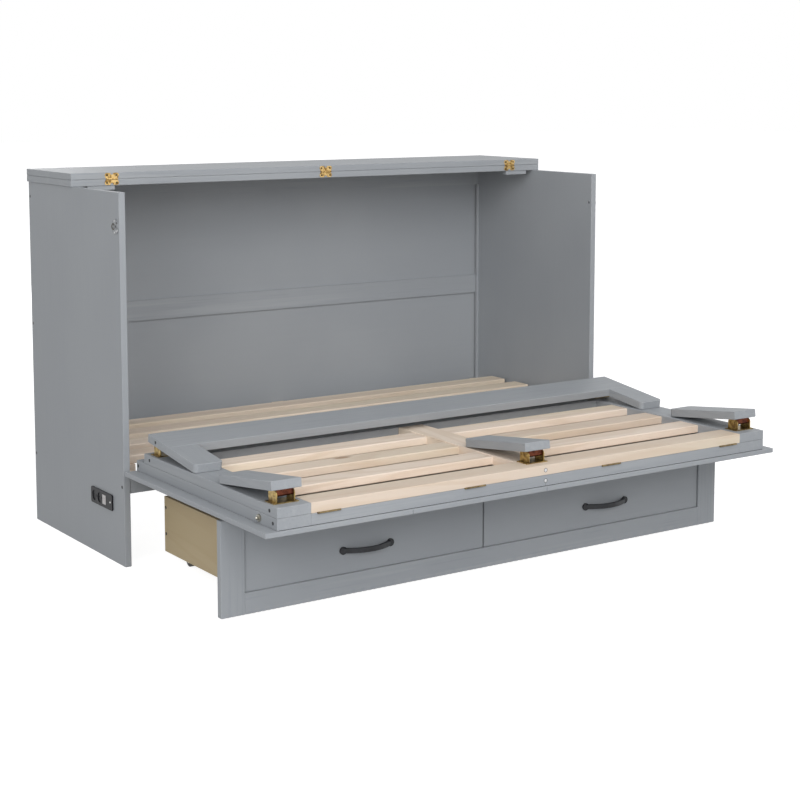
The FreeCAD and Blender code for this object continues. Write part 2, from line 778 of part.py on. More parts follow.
def build_legs():
    """The U-shaped foot leg, the three short legs, their straps and their brackets."""
    rail = leg_board((-leg_outer_x, leg_outer_x), (0, foot_rail_width), False)
    keep("foot_leg_rail", folded(rail, 0, foot_leg_pin_y, True))
    arm_x = (leg_outer_x - leg_width, leg_outer_x)
    arm = leg_board(arm_x, (foot_rail_width, leg_length), True)
    keep("foot_leg_arms", *[folded(one, 0, foot_leg_pin_y, True)
                            for one in (mirrored(arm), arm)])
    keep("foot_leg_straps", *[folded(leg_strap(), side * leg_middle_x, foot_leg_pin_y, True)
                              for side in (-1, 1)])

    board_x = (-leg_width / 2, leg_width / 2)
    short = leg_board(board_x, (0, leg_length), True)
    for name, x in (("left", -leg_middle_x), ("centre", 0), ("right", leg_middle_x)):
        keep("short_leg_" + name, folded(short, x, short_leg_pin_y, False))
        keep("short_leg_strap_" + name, folded(leg_strap(), x, short_leg_pin_y, False))

    brackets = [set_bracket(x, short_leg_pin_y, False) for x in (-leg_middle_x, 0, leg_middle_x)]
    brackets += [set_bracket(side * leg_middle_x, foot_leg_pin_y, True) for side in (-1, 1)]
    keep("leg_brackets", *brackets)


# ---------------------------------------------------------------- drawer
def handle(x):
    """An arched pull at one place, its bar swept on an arc between two flattened feet."""
    half = handle_centres / 2
    rise = handle_projection - handle_bar_depth / 2
    arc_radius = (half ** 2 + rise ** 2) / (2 * rise)
    centre_y = false_face - rise + arc_radius
    sweep = 2 * math.degrees(math.asin(half / arc_radius))
    start = V(0, centre_y - arc_radius, handle_level)
    z = (start.z - handle_bar_height / 2, start.z + handle_bar_height / 2)
    bar_y = (start.y - handle_bar_depth / 2, start.y + handle_bar_depth / 2)
    corners = [V(0, bar_y[0], z[0]), V(0, bar_y[1], z[0]), V(0, bar_y[1], z[1]),
               V(0, bar_y[0], z[1]), V(0, bar_y[0], z[0])]
    section = Part.Face(Part.makePolygon(corners))
    overrun = math.degrees(handle_foot_thickness / arc_radius)
    section.rotate(V(0, centre_y, 0), V(0, 0, 1), -sweep / 2 - overrun)
    bar = section.revolve(V(0, centre_y, 0), V(0, 0, 1), sweep + 2 * overrun)
    for side in (-1, 1):
        foot = Part.makeCylinder(handle_foot_radius, handle_foot_thickness,
                                 V(side * half, false_face, handle_level), V(0, -1, 0))
        bar = bar.fuse(foot)
    wall = block((-handle_centres, handle_centres),
                 (false_face, false_face + handle_projection), z)
    pull = bar.cut(wall).removeSplitter()
    pull.translate(V(x, 0, 0))
    return pull


def wheel(x, y):
    """A caster wheel running on its fork's axle."""
    span = (x - wheel_width / 2, x + wheel_width / 2)
    bore = rod_x(span, y, wheel_radius, caster_axle_radius + wheel_running_gap)
    return rod_x(span, y, wheel_radius, wheel_radius).cut(bore)


def fork(x, y):
    """A fixed caster fork: a plate under the drawer, two arms and the riveted axle."""
    plate_z = (caster_height - caster_sheet, caster_height)
    whole = block((x - caster_plate_width / 2, x + caster_plate_width / 2),
                  (y - caster_plate_length / 2, y + caster_plate_length / 2), plate_z)
    inner = wheel_width / 2 + wheel_side_gap
    for side in (-1, 1):
        arm_x = sorted((x + side * inner, x + side * (inner + caster_sheet)))
        arm = rod_x(arm_x, y, wheel_radius, caster_arm_radius)
        arm = arm.fuse(block(arm_x, (y - caster_arm_radius, y + caster_arm_radius),
                             (wheel_radius, caster_height)))
        whole = whole.fuse(arm)
    axle_end = inner + caster_sheet
    axle = rod_x((x - axle_end, x + axle_end), y, wheel_radius, caster_axle_radius)
    return whole.fuse(axle).removeSplitter()


def build_drawer():
    """The drawer: framed face, two false fronts, box, handles and four casters."""
    face_x = half_width + drawer_face_overhang
    face_y = (drawer_front, drawer_face_back)
    stile_x = face_x - drawer_stile_width
    stile = eased((stile_x, face_x), face_y, (drawer_floor_gap, drawer_top))
    keep("drawer_stiles", mirrored(stile), stile)
    rail_top = drawer_floor_gap + drawer_rail_height
    keep("drawer_bottom_rail", eased((-stile_x, stile_x), face_y, (drawer_floor_gap, rail_top)))
    end_x = stile_x - false_front_margin
    half_joint = false_front_joint / 2
    spans = ((-end_x, false_front_split - half_joint), (false_front_split + half_joint, end_x))
    keep("false_fronts", *[eased(span, (false_face, drawer_face_back), (rail_top, drawer_top))
                           for span in spans])

    box_z = (box_bottom, box_top)
    inside_x = box_x - drawer_box_board
    box_inner_front = drawer_face_back + drawer_box_board
    box_inner_back = box_back - drawer_box_board
    side = block((inside_x, box_x), (drawer_face_back, box_back), box_z)
    keep("drawer_box_sides", mirrored(side), side)
    span = (-inside_x, inside_x)
    keep("drawer_box_ends", block(span, (drawer_face_back, box_inner_front), box_z),
         block(span, (box_inner_back, box_back), box_z))
    keep("drawer_bottom", block(span, (box_inner_front, box_inner_back),
                                (box_bottom, box_bottom + drawer_bottom_thickness)))

    keep("drawer_handles", handle(-handle_x), handle(handle_x))

    caster_x = box_x - caster_from_side
    rows = (("front", drawer_face_back + caster_from_front), ("rear", box_back - caster_from_back))
    forks = []
    for row, y in rows:
        for name, x in (("left", -caster_x), ("right", caster_x)):
            forks.append(fork(x, y))
            keep("caster_wheel_" + row + "_" + name, wheel(x, y))
    keep("caster_forks", *forks)


# ---------------------------------------------------------------- build and save
def main():
    """Builds every node and writes it to its own file."""
    build_cabinet()
    build_hinges()
    build_flap()
    build_front_panel()
    build_foot_section()
    build_legs()
    build_drawer()
    os.makedirs("parts", exist_ok=True)
    for name, solids in nodes.items():
        for solid in solids:
            if not solid.isValid() or len(solid.Solids) != 1:
                raise ValueError(name + " is not made of single sound solids")
        shape = Part.makeCompound(solids) if len(solids) > 1 else solids[0]
        shape.translate(V(0, row_shift, 0))
        shape.exportStep("parts/" + name + ".step")
    print(len(nodes), "nodes; leg tilt", round(math.degrees(leg_tilt), 3), "degrees")


main()
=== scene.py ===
# %% [markdown]
# # A cabinet bed, finished in satin grey paint and bare pine
#
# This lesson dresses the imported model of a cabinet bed. The boards, rails, slats and hinges
# come from the frame at their real size, so the work here is mostly finishes: satin paint over
# wood, planed pine, brass, zinc and black iron. The small hardware that a maker adds last, such
# as screws, rivets and rings, is modelled here too.

# %% Load the frame
import json
import math

import bmesh
import bpy
from mathutils import Matrix, Vector


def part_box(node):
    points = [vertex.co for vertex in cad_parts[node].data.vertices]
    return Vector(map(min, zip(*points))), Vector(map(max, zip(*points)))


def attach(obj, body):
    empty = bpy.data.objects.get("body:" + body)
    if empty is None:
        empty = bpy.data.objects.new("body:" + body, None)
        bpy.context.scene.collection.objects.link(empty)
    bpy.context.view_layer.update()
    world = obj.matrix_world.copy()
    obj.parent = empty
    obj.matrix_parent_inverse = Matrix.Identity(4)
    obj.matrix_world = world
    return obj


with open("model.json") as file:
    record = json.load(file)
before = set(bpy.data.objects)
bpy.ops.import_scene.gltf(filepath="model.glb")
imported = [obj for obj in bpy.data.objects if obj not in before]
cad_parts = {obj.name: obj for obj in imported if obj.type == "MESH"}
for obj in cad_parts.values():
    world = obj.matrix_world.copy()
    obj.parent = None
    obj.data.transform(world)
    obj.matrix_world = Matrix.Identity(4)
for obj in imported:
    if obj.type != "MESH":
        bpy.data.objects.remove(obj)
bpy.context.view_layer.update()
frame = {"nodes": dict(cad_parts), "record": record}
MM = 0.001

# %% [markdown]
# ## Shader maths as plain expressions
#
# A material is a graph of nodes. Adding each Math node by hand hides the formula, so one small
# class wraps an output and lets Python's own operators add the nodes. Colours never go through
# it, because a Math node turns a colour grey: they are mixed with a Mix node instead.

# %% A socket that understands arithmetic
class Socket:
    """One output of a node in a material."""

    def __init__(self, tree, output):
        self.tree = tree
        self.output = output

    def math(self, operation, first, second):
        node = self.tree.nodes.new("ShaderNodeMath")
        node.operation = operation
        for place, value in enumerate((first, second)):
            if isinstance(value, Socket):
                self.tree.links.new(value.output, node.inputs[place])
            else:
                node.inputs[place].default_value = value
        return Socket(self.tree, node.outputs[0])

    def __add__(self, other):
        return self.math("ADD", self, other)

    def __radd__(self, other):
        return self.math("ADD", other, self)

    def __sub__(self, other):
        return self.math("SUBTRACT", self, other)

    def __rsub__(self, other):
        return self.math("SUBTRACT", other, self)

    def __mul__(self, other):
        return self.math("MULTIPLY", self, other)

    def __rmul__(self, other):
        return self.math("MULTIPLY", other, self)


# %% [markdown]
# ## A finish under construction
#
# Every finish on this bed is the same recipe: take the place on the piece, make a few patterns
# from it, and let those patterns drive colour, roughness and a little bump. Each could be built
# by hand in the node editor, but two classes keep the recipe short and let all of them share
# it. Graph adds any node from its type, its settings and its sockets, and Finish adds the
# patterns. The place is read from Object coordinates, which are metres here, so a pattern's
# scale is a real size.
#
# A Mix node has sockets of the same name for numbers, vectors and colours, so the ones for
# colours are picked by their number.

# %% The graph and finish classes
MIX_FACTOR, MIX_FIRST, MIX_SECOND = 0, 6, 7
MIX_COLOUR = 2
NOISE_ROUGHNESS = 0.5


class Graph:
    """A node tree being filled."""

    def __init__(self, tree):
        self.tree = tree
        self.tree.nodes.clear()

    def node(self, kind, settings=None, sockets=None, output=0):
        """Any node: its settings are set first, then its sockets are filled or linked."""
        made = self.tree.nodes.new(kind)
        for key, value in (settings or {}).items():
            setattr(made, key, value)
        for key, value in (sockets or {}).items():
            if isinstance(value, Socket):
                self.tree.links.new(value.output, made.inputs[key])
            else:
                made.inputs[key].default_value = value
        if len(made.outputs) == 0:
            return None
        return Socket(self.tree, made.outputs[output])


class Finish(Graph):
    """A material being made: the patterns feed surface(), which ends it."""

    def __init__(self, name):
        self.material = bpy.data.materials.new(name)
        self.material.use_nodes = True
        super().__init__(self.material.node_tree)

    def place(self, stretch=(1.0, 1.0, 1.0), shift=(0.0, 0.0, 0.0)):
        """Object coordinates, stretched so that a pattern runs along the grain."""
        coordinates = self.node("ShaderNodeTexCoord", output="Object")
        return self.node("ShaderNodeMapping", None,
                         {"Vector": coordinates, "Scale": stretch, "Location": shift})

    def noise(self, vector, scale=1.0, detail=3.0):
        return self.node("ShaderNodeTexNoise", None,
                         {"Vector": vector, "Scale": scale, "Detail": detail,
                          "Roughness": NOISE_ROUGHNESS})

    def ramp(self, factor, low, high):
        """A soft step: 0 below low, 1 above high."""
        return self.node("ShaderNodeMapRange", {"interpolation_type": "SMOOTHSTEP"},
                         {"Value": factor, "From Min": low, "From Max": high})

    def mix(self, factor, first, second):
        """Colours first and second in the share that factor gives."""
        colours = [value if isinstance(value, Socket) else (*value, 1.0)
                   for value in (first, second)]
        return self.node("ShaderNodeMix", {"data_type": "RGBA", "blend_type": "MIX"},
                         {MIX_FACTOR: factor, MIX_FIRST: colours[0], MIX_SECOND: colours[1]},
                         output=MIX_COLOUR)

    def bump(self, height, strength, distance):
        return self.node("ShaderNodeBump", None,
                         {"Height": height, "Strength": strength, "Distance": distance})

    def surface(self, colour, roughness, normal, **constants):
        """The shader and the output; a constant's name is its socket's, with _ for a space."""
        sockets = {"Base Color": colour, "Roughness": roughness, "Normal": normal}
        sockets.update({key.replace("_", " "): value for key, value in constants.items()})
        shader = self.node("ShaderNodeBsdfPrincipled", None, sockets)
        self.node("ShaderNodeOutputMaterial", None, {"Surface": shader})
        print("finish:", self.material.name)
        return self.material


# %% [markdown]
# ## Satin grey paint
#
# Everything outside is sprayed a cool mid grey. The rails are solid pine, and their grain still
# shows through the paint as streaks along each rail. The wide panels are smooth board and
# nearly even. A picture of painted wood could be wrapped round each board, but it would show
# its seams and repeat itself. A pattern that is stretched along the grain fits any board, so
# one function makes every paint, for a grain direction and a share of grain that shows.

# %% Paint
GREY = (0.278, 0.293, 0.312)
GREY_PALE = (0.322, 0.337, 0.352)
GREY_DEEP = (0.240, 0.256, 0.276)
PAINT_STREAKS = (5.0, 190.0)
PAINT_GRAIN = (1.6, 46.0)
PAINT_CLOUDS = 2.6
PAINT_SPECKS = 900.0
PAINT_EVENNESS = 0.72
PAINT_GLOSS = 0.35


def grain_stretch(axis, repeats):
    """A scale for the pattern, from its repeats per metre along and across the grain."""
    along, across = repeats
    stretch = [across, across, across]
    stretch["XYZ".index(axis)] = along
    return tuple(stretch)


def paint(name, axis, grain_show):
    """Satin grey paint; grain_show is 0 on smooth board and 1 on open-grained rails."""
    finish = Finish(name)
    streaks = finish.noise(finish.place(grain_stretch(axis, PAINT_STREAKS)), detail=4.0)
    grain = finish.noise(finish.place(grain_stretch(axis, PAINT_GRAIN)), detail=3.0)
    cloud = finish.noise(finish.place(), scale=PAINT_CLOUDS, detail=2.0)
    speck = finish.noise(finish.place(), scale=PAINT_SPECKS, detail=1.0)
    tone = finish.mix(finish.ramp(cloud, 0.3, 0.7), GREY_DEEP, GREY_PALE)
    tone = finish.mix(PAINT_EVENNESS, tone, GREY)
    streak_share = 0.10 + 0.60 * grain_show
    grain_share = 0.06 + 0.50 * grain_show
    streak_height = 0.3 + 0.9 * grain_show
    tone = finish.mix(finish.ramp(streaks, 0.52, 0.78) * streak_share, tone, GREY_DEEP)
    tone = finish.mix(finish.ramp(grain, 0.52, 0.74) * grain_share, tone, GREY_PALE)
    roughness = 0.40 + cloud * 0.10 + streaks * 0.08
    height = streaks * streak_height + grain * 0.5 + speck * 0.25
    return finish.surface(tone, roughness, finish.bump(height, 0.28, 0.6 * MM),
                          Specular_IOR_Level=PAINT_GLOSS)


rail_paints = {axis: paint("rail_paint_" + axis.lower(), axis, 1.0) for axis in "XYZ"}
board_paints = {axis: paint("board_paint_" + axis.lower(), axis, 0.0) for axis in "XZ"}

# %% [markdown]
# ## Planed pine
#
# The slats are bare pine, with wide bands of early and late wood. Rings round a trunk, sliced
# by the board's face, would give such bands exactly. Contour lines of a noise that is stretched
# along the board are simpler, and give the long arches that a plain-sawn face has. Much finer
# streaks give the fibres. One slow noise makes whole boards paler or greyer, and another gives
# some of them the yellow of sapwood. A few knots come from a Voronoi texture, stretched the
# same way. The drawer's box is the same recipe in tan.

# %% Pine
PINE_PALE = (0.695, 0.590, 0.498)
PINE_MID = (0.580, 0.480, 0.392)
PINE_WARM = (0.530, 0.400, 0.285)
SAP_TINT = (0.660, 0.590, 0.440)
KNOT = (0.270, 0.145, 0.070)
PINE_FIELD = (0.9, 7.5)
PINE_FIBRES = (9.0, 420.0)
PINE_BOARDS = (0.35, 9.0)
PINE_SAP = (0.5, 6.5)
PINE_KNOTS = (2.4, 6.2)
PINE_BANDS = 62.0
SAP_SHIFT = (4.4, 2.2, 7.9)


def pine(name, axis, shift=0.0, pale=PINE_PALE, mid=PINE_MID, warm=PINE_WARM, tint=SAP_TINT):
    """Planed pine along an axis; shift moves the pattern, so that two pines differ."""
    finish = Finish(name)
    offset = (shift, shift * 1.7, shift * 0.6)
    field = finish.noise(finish.place(grain_stretch(axis, PINE_FIELD), offset), detail=1.5)
    wave = finish.node("ShaderNodeMath", {"operation": "SINE"}, {0: field * PINE_BANDS})
    fibres = finish.noise(finish.place(grain_stretch(axis, PINE_FIBRES), offset), detail=3.0)
    board = finish.noise(finish.place(grain_stretch(axis, PINE_BOARDS), offset), detail=0.0)
    sap = finish.noise(finish.place(grain_stretch(axis, PINE_SAP), SAP_SHIFT), detail=1.0)
    cells = finish.node("ShaderNodeTexVoronoi", None,
                        {"Vector": finish.place(grain_stretch(axis, PINE_KNOTS), offset),
                         "Scale": 1.0, "Randomness": 1.0})
    band = finish.ramp(wave, 0.1, 1.0)
    knot = 1.0 - finish.ramp(cells, 0.035, 0.085)
    tone = finish.mix(finish.ramp(board, 0.35, 0.65), pale, mid)
    tone = finish.mix(finish.ramp(sap, 0.46, 0.64) * 0.5, tone, tint)
    tone = finish.mix(band * 0.30, tone, warm)
    tone = finish.mix(finish.ramp(fibres, 0.50, 0.80) * 0.28, tone, warm)
    tone = finish.mix(knot * 0.75, tone, KNOT)
    roughness = 0.56 + fibres * 0.12 - knot * 0.10
    height = fibres * 0.8 + band * 0.25
    return finish.surface(tone, roughness, finish.bump(height, 0.32, 0.5 * MM))


DRAWER_TONES = {"pale": (0.520, 0.425, 0.265), "mid": (0.440, 0.350, 0.210),
                "warm": (0.410, 0.310, 0.180), "tint": (0.480, 0.400, 0.230)}
pines = {"X": pine("pine_along_x", "X"),
         "Y": pine("pine_along_y", "Y", shift=3.1)}
drawer_woods = {"X": pine("drawer_board_x", "X", shift=5.3, **DRAWER_TONES),
                "Y": pine("drawer_board_y", "Y", shift=6.1, **DRAWER_TONES)}

# %% [markdown]
# ## Metals
#
# Brass hinges, yellow zinc brackets, nickel latches and black iron pulls are all metals, but
# each has its own wear. Scratches could be drawn one by one. At this size a fine noise in the
# roughness breaks up the reflection as well, and a second, larger one shifts the plating's
# colour a little, as handling and tumbling do. The black iron is coated, so no metal shows.

# %% Metals
METAL_GRIT = 1400.0
GRIT_HEIGHT = 0.1 * MM


def metal(name, base, tint, rough, scatter=0.12, metallic=1.0, specular=0.5, mottle=85.0):
    """A metal from its clean and its dulled colour; mottle is the patches' scale."""
    finish = Finish(name)
    patch = finish.noise(finish.place(), scale=mottle, detail=3.0)
    fine = finish.noise(finish.place(), scale=METAL_GRIT, detail=2.0)
    tone = finish.mix(finish.ramp(patch, 0.35, 0.68), base, tint)
    roughness = rough + fine * scatter + patch * scatter
    return finish.surface(tone, roughness, finish.bump(fine, 0.15, GRIT_HEIGHT),
                          Metallic=metallic, Specular_IOR_Level=specular)


brass = metal("brass", (0.70, 0.49, 0.21), (0.22, 0.12, 0.03), 0.16, mottle=130.0)
# This brass is darkened as painted shade, for the seam that the foot hinges' leaves sit in.
painted_shade_brass = metal("painted_shade_brass", (0.25, 0.19, 0.10), (0.11, 0.08, 0.045), 0.34)
yellow_zinc = metal("yellow_zinc", (0.46, 0.34, 0.13), (0.20, 0.13, 0.05), 0.20)
# The straps' zinc is a deep red-brown, partly the plating's own colour and partly painted shade
# for the shadow between the bracket's cheeks. The bracket plates' screws use it too.
shaded_strap_zinc = metal("shaded_strap_zinc", (0.14, 0.045, 0.025), (0.06, 0.020, 0.014), 0.16)
nickel = metal("nickel", (0.56, 0.54, 0.48), (0.17, 0.16, 0.13), 0.16, mottle=210.0)
grey_nickel = metal("grey_nickel", (0.27, 0.28, 0.29), (0.22, 0.23, 0.24), 0.42, scatter=0.10,
                    metallic=0.35)
dark_bronze = metal("dark_bronze", (0.070, 0.055, 0.028), (0.030, 0.024, 0.014), 0.30)
zinc = metal("zinc", (0.62, 0.62, 0.63), (0.50, 0.50, 0.51), 0.28)
# Dark screw steel. The same material is the painted shade of the centre screws' rings, the key
# slots and the joint lines.
dark_screw_and_shade = metal("dark_screw_and_shade", (0.055, 0.055, 0.058), (0.03, 0.03, 0.03), 0.30)
black_iron = metal("black_iron", (0.006, 0.007, 0.009), (0.014, 0.015, 0.018), 0.30,
                   metallic=0.0, specular=0.32)

# %% [markdown]
# ## Plastic and rubber
#
# The socket plate is a satin black moulding and its insert a pale one. The caster treads are a
# dull rubber with a powdering of dust. A plain colour would do from far off. The same two
# noises as on the metals keep it from looking flat close by.

# %% Plastics
PLASTIC_GRIT = 2600.0


def plastic(name, base, tint, rough, scale, specular=0.4):
    """A plastic or rubber, clouded from its base colour to its tint."""
    finish = Finish(name)
    patch = finish.noise(finish.place(), scale=scale, detail=2.0)
    fine = finish.noise(finish.place(), scale=PLASTIC_GRIT, detail=1.0)
    tone = finish.mix(patch, base, tint)
    return finish.surface(tone, rough + patch * 0.1, finish.bump(fine, 0.2, GRIT_HEIGHT),
                          Specular_IOR_Level=specular)


black_plastic = plastic("black_plastic", (0.006, 0.006, 0.008), (0.012, 0.012, 0.015), 0.34,
                        40.0, specular=0.14)
pale_plastic = plastic("pale_plastic", (0.52, 0.50, 0.50), (0.44, 0.42, 0.42), 0.34, 60.0)
white_plastic = plastic("white_plastic", (0.80, 0.80, 0.79), (0.74, 0.74, 0.73), 0.30, 60.0)
rubber = plastic("rubber", (0.035, 0.034, 0.033), (0.090, 0.086, 0.080), 0.62, 160.0)

# %% [markdown]
# ## Put the finishes on the frame's pieces
#
# On the real bed, grain runs along the length of each board. Each node could be given its
# finish by hand, but the box of the node says which side is the longest, so a new rail gets the
# right grain without being listed. A node that is a pair of boards is wider than its boards are
# long, and those are listed. A few metal parts are darker than their plating. The foot hinges'
# leaves get painted shade for the seam they sit in. The leg straps get a red-brown that is
# partly their own and partly painted shade between the bracket's cheeks. The side screws and
# the latch plates are darker in their own colour.

# %% Assign
record = frame["record"]
slot_of = {row["node"]: row["material_slot"] for row in record["subparts"]}
PAIRS = {"panel_side_rails": "Y", "section_side_rails": "Y", "foot_leg_arms": "Y",
         "deck_ledgers": "Y", "drawer_box_sides": "Y", "drawer_stiles": "Z",
         "back_corner_battens": "Z"}
PLAIN = {"brass": brass, "yellow_zinc": yellow_zinc, "nickel": nickel, "caster_steel": zinc,
         "wheel_rubber": rubber, "black_metal": black_iron, "black_plastic": black_plastic,
         "pale_plastic": pale_plastic}
# Darker own colours, with painted shade on the foot hinges' leaves and the leg straps.
DARKER_AND_SHADED = {"side_screws": dark_screw_and_shade, "latch_escutcheons": grey_nickel,
        "foot_hinge_panel_leaves": painted_shade_brass, "foot_hinge_section_leaves": painted_shade_brass,
        "foot_leg_straps": shaded_strap_zinc, "short_leg_strap_left": shaded_strap_zinc,
        "short_leg_strap_centre": shaded_strap_zinc, "short_leg_strap_right": shaded_strap_zinc}
SMOOTH_BOARDS = ("side_panel_left", "side_panel_right", "back_panels", "false_fronts",
                 "face_board")


def grain_axis(node):
    """The axis of a node's longest side, or of its boards where it is a pair of them."""
    low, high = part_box(node)
    size = high - low
    longest = max(range(3), key=lambda axis: size[axis])
    return PAIRS.get(node, "XYZ"[longest])


def finish_for(node):
    slot = slot_of[node]
    if node in DARKER_AND_SHADED:
        return DARKER_AND_SHADED[node]
    if slot in PLAIN:
        return PLAIN[slot]
    axis = grain_axis(node)
    if slot == "pine":
        return pines[axis]
    if slot == "drawer_wood":
        return drawer_woods[axis]
    if node in SMOOTH_BOARDS:
        return board_paints[axis]
    return rail_paints[axis]


for name, piece in frame["nodes"].items():
    piece.data.materials.clear()
    piece.data.materials.append(finish_for(name))
print("finishes assigned to", len(frame["nodes"]), "nodes")

# %% [markdown]
# ## Screws
#
# A cross-head screw is a shallow dome with a sunk cross. The cross could be a dark mark in the
# material, but then it would catch no light. Here a disc is cut by planes so that some of its
# faces form the cross, the disc is domed by moving its points, and the cross's faces are pushed
# in. One such head is then stamped wherever a screw goes.

# %% One screw head
HEAD_SEGMENTS = 24
CROSS_ARM = 0.62
CROSS_WIDTH = 0.20
SKIRT_DROP = 0.35
DOME_FALL = 0.75
CROSS_DEPTH = 0.8


def screw_head(radius, rise):
    """A bmesh of one head on the XY plane, its dome towards +Z."""
    head = bmesh.new()
    bmesh.ops.create_circle(head, cap_ends=True, segments=HEAD_SEGMENTS, radius=radius)
    for axis in (Vector((1, 0, 0)), Vector((0, 1, 0))):
        for distance in (-CROSS_ARM, -CROSS_WIDTH, CROSS_WIDTH, CROSS_ARM):
            bmesh.ops.bisect_plane(head, geom=head.verts[:] + head.edges[:] + head.faces[:],
                                   plane_co=axis * distance * radius, plane_no=axis)
    rim = [edge for edge in head.edges if edge.is_boundary]
    skirt = bmesh.ops.extrude_edge_only(head, edges=rim)
    low = [vertex for vertex in skirt["geom"] if isinstance(vertex, bmesh.types.BMVert)]
    bmesh.ops.translate(head, verts=low, vec=(0, 0, -SKIRT_DROP * rise))
    lowest = set(low)
    for vertex in head.verts:
        if vertex not in lowest:
            share = (vertex.co.x ** 2 + vertex.co.y ** 2) / radius ** 2
            vertex.co.z = rise * (1 - DOME_FALL * share)
    cross = []
    for face in head.faces:
        middle = face.calc_center_median()
        near = min(abs(middle.x), abs(middle.y))
        far = max(abs(middle.x), abs(middle.y))
        if near < CROSS_WIDTH * radius and far < CROSS_ARM * radius and face.normal.z > 0.5:
            cross.append(face)
    sunk = bmesh.ops.extrude_face_region(head, geom=cross)
    bottom = [item for item in sunk["geom"] if isinstance(item, bmesh.types.BMVert)]
    bmesh.ops.translate(head, verts=bottom, vec=(0, 0, -CROSS_DEPTH * rise))
    bmesh.ops.delete(head, geom=cross, context="FACES")
    bmesh.ops.recalc_face_normals(head, faces=head.faces[:])
    return head


# %% [markdown]
# A piece of hardware is stamped many times. Each copy could be an object of its own, but a
# hundred small objects are slow to export and hard to name. So one helper copies a small bmesh
# to a list of places, each with its own facing direction, and makes one object of them that
# rides with the body they are screwed to.

# %% Stamping helper
def stamped(name, stamp, places, body, material):
    """One object with a copy of stamp at each (point, direction), riding on a body."""
    source = bpy.data.meshes.new(name + "_stamp")
    stamp.to_mesh(source)
    stamp.free()
    whole = bmesh.new()
    for point, direction in places:
        start = len(whole.verts)
        whole.from_mesh(source)
        whole.verts.ensure_lookup_table()
        turn = Vector((0, 0, 1)).rotation_difference(Vector(direction)).to_matrix().to_4x4()
        bmesh.ops.transform(whole, matrix=Matrix.Translation(point) @ turn,
                            verts=whole.verts[start:])
    mesh = bpy.data.meshes.new(name)
    whole.to_mesh(mesh)
    whole.free()
    bpy.data.meshes.remove(source)
    mesh.materials.append(material)
    piece = bpy.data.objects.new(name, mesh)
    bpy.context.scene.collection.objects.link(piece)
    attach(piece, body)
    print(name, "has", len(places), "copies")


# %% [markdown]
# ## Screws on the top hinges
#
# Each wing of a butterfly hinge has two screws in its lobes. They could be placed by measured
# coordinates, but the hinge already stands in the frame, so they are placed from the boxes of
# the two halves of the top. A head is given by its radius and its rise.

# %% Top hinge screws
FRONT = (0, -1, 0)
BACK = (0, 1, 0)
UP = (0, 0, 1)
DOWN = (0, 0, -1)
SIDES = (-1, 1)
TOP_HINGE_IN = 119 * MM
TOP_HINGE_LEAF = 1.1 * MM
TOP_SCREW_UP = 10.5 * MM
TOP_SCREW_OUT = 14.5 * MM
TOP_HINGE_HEAD = (2.8 * MM, 0.7 * MM)
top_low, top_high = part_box("fixed_top")
flap_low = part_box("top_flap")[0]
seam_z = (top_high.z + flap_low.z) / 2
leaf_face = top_low.y - TOP_HINGE_LEAF
top_hinge_x = top_high.x - TOP_HINGE_IN
lower_places = []
upper_places = []
for x in (-top_hinge_x, 0.0, top_hinge_x):
    for side in SIDES:
        spot = x + side * TOP_SCREW_OUT
        lower_places.append(((spot, leaf_face, seam_z - TOP_SCREW_UP), FRONT))
        upper_places.append(((spot, leaf_face, seam_z + TOP_SCREW_UP), FRONT))
stamped("top_hinge_screws_fixed", screw_head(*TOP_HINGE_HEAD), lower_places,
        "cabinet", dark_bronze)
stamped("top_hinge_screws_flap", screw_head(*TOP_HINGE_HEAD), upper_places,
        "top_flap", dark_bronze)

# %% [markdown]
# ## Screws on the foot section's hinges
#
# These hinges lie in the seam with only their knuckles showing, and each plain leaf has three
# screws in a row. They could be left out, as they are hidden at rest. They are made because
# they come into view when the section is laid open, and sunk almost flush, because the two
# leaves close on each other.

# %% Foot hinge screws
SUNK_HEAD = (2.8 * MM, 0.1 * MM)
FOOT_LEAF_HALF = 31 * MM
FOOT_HINGE_INNER = 218 * MM
FOOT_SCREW_STEP = 21 * MM
FOOT_SCREW_IN = 12 * MM
foot_leaf_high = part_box("foot_hinge_panel_leaves")[1]
beam_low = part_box("section_front_beam")[0]
rail_low, rail_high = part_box("panel_front_rail")
foot_hinge_outer = foot_leaf_high.x - FOOT_LEAF_HALF
panel_places = []
section_places = []
for x in (-foot_hinge_outer, -FOOT_HINGE_INNER, FOOT_HINGE_INNER, foot_hinge_outer):
    for step in (-FOOT_SCREW_STEP, 0.0, FOOT_SCREW_STEP):
        panel_places.append(((x + step, rail_low.y + FOOT_SCREW_IN, rail_high.z), UP))
        section_places.append(((x + step, beam_low.y + FOOT_SCREW_IN, beam_low.z), DOWN))
stamped("foot_hinge_screws_panel", screw_head(*SUNK_HEAD), panel_places,
        "front_panel", brass)
stamped("foot_hinge_screws_section", screw_head(*SUNK_HEAD), section_places,
        "foot_section", brass)

# %% [markdown]
# ## Assembly screws
#
# The frames are joined by screws whose dark heads sit in the edges of the side rails. More of
# them hold the drawer's sides, the foot leg's cross rail and the little cleats under the top.
# Holes could be cut for them, but a head that stands on the wood hides its hole. Each screw
# rides with the board that it holds.

